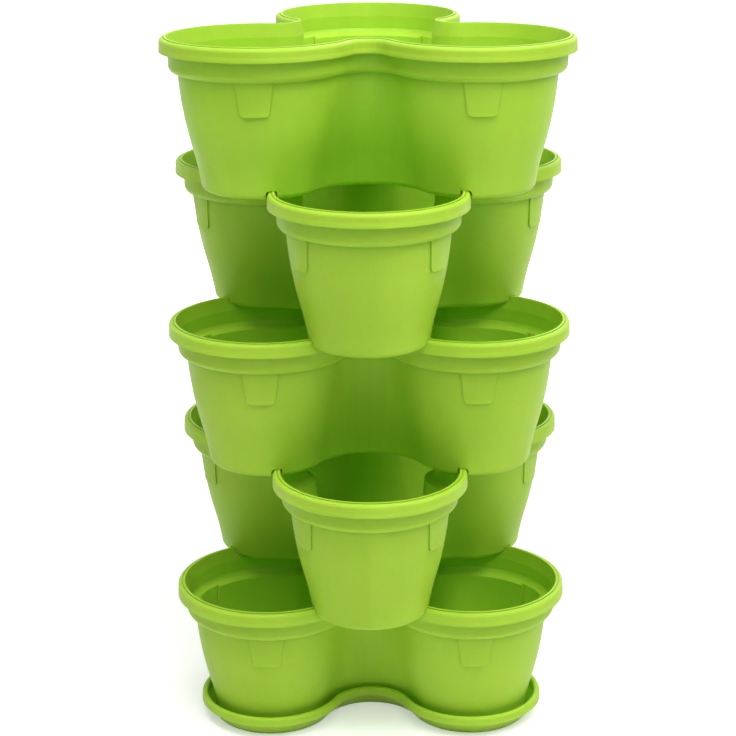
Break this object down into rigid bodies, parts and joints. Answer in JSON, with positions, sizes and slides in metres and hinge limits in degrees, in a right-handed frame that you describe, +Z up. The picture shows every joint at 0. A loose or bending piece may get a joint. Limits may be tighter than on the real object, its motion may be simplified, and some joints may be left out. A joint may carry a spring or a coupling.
{
  "type": "stacking planter tower",
  "caption": "Tower of stacked three-lobed plastic planters standing in a lobed saucer, each tier turned so that its pockets lie between those of the tier below.",
  "frame": {"origin": "middle of the saucer's underside, on the tower's upright axis", "axes": "+Z up the tower; the lowest tier has a lobe towards +Y, and -Y is the front"},
  "size_m": [0.4002, 0.4322, 0.7105],
  "materials": {
    "pot_plastic": "satin moulded",
    "saucer_plastic": "satin moulded"
  },
  "bodies": {
    "saucer": {"saucer": "saucer_plastic"},
    "planter_tier_1": {"planter_tier_1": "pot_plastic"},
    "planter_tier_2": {"planter_tier_2": "pot_plastic"},
    "planter_tier_3": {"planter_tier_3": "pot_plastic"},
    "planter_tier_4": {"planter_tier_4": "pot_plastic"},
    "planter_tier_5": {"planter_tier_5": "pot_plastic"}
  },
  "joints": [
    {"name": "lift_tier_1", "type": "slide", "parent": "saucer", "child": "planter_tier_1", "axis": [0, 0, 1], "range_m": [0, 0.06]},
    {"name": "lift_tier_2", "type": "slide", "parent": "planter_tier_1", "child": "planter_tier_2", "axis": [0, 0, 1], "range_m": [0, 0.06]},
    {"name": "lift_tier_3", "type": "slide", "parent": "planter_tier_2", "child": "planter_tier_3", "axis": [0, 0, 1], "range_m": [0, 0.06]},
    {"name": "lift_tier_4", "type": "slide", "parent": "planter_tier_3", "child": "planter_tier_4", "axis": [0, 0, 1], "range_m": [0, 0.06]},
    {"name": "lift_tier_5", "type": "slide", "parent": "planter_tier_4", "child": "planter_tier_5", "axis": [0, 0, 1], "range_m": [0, 0.06]}
  ]
}
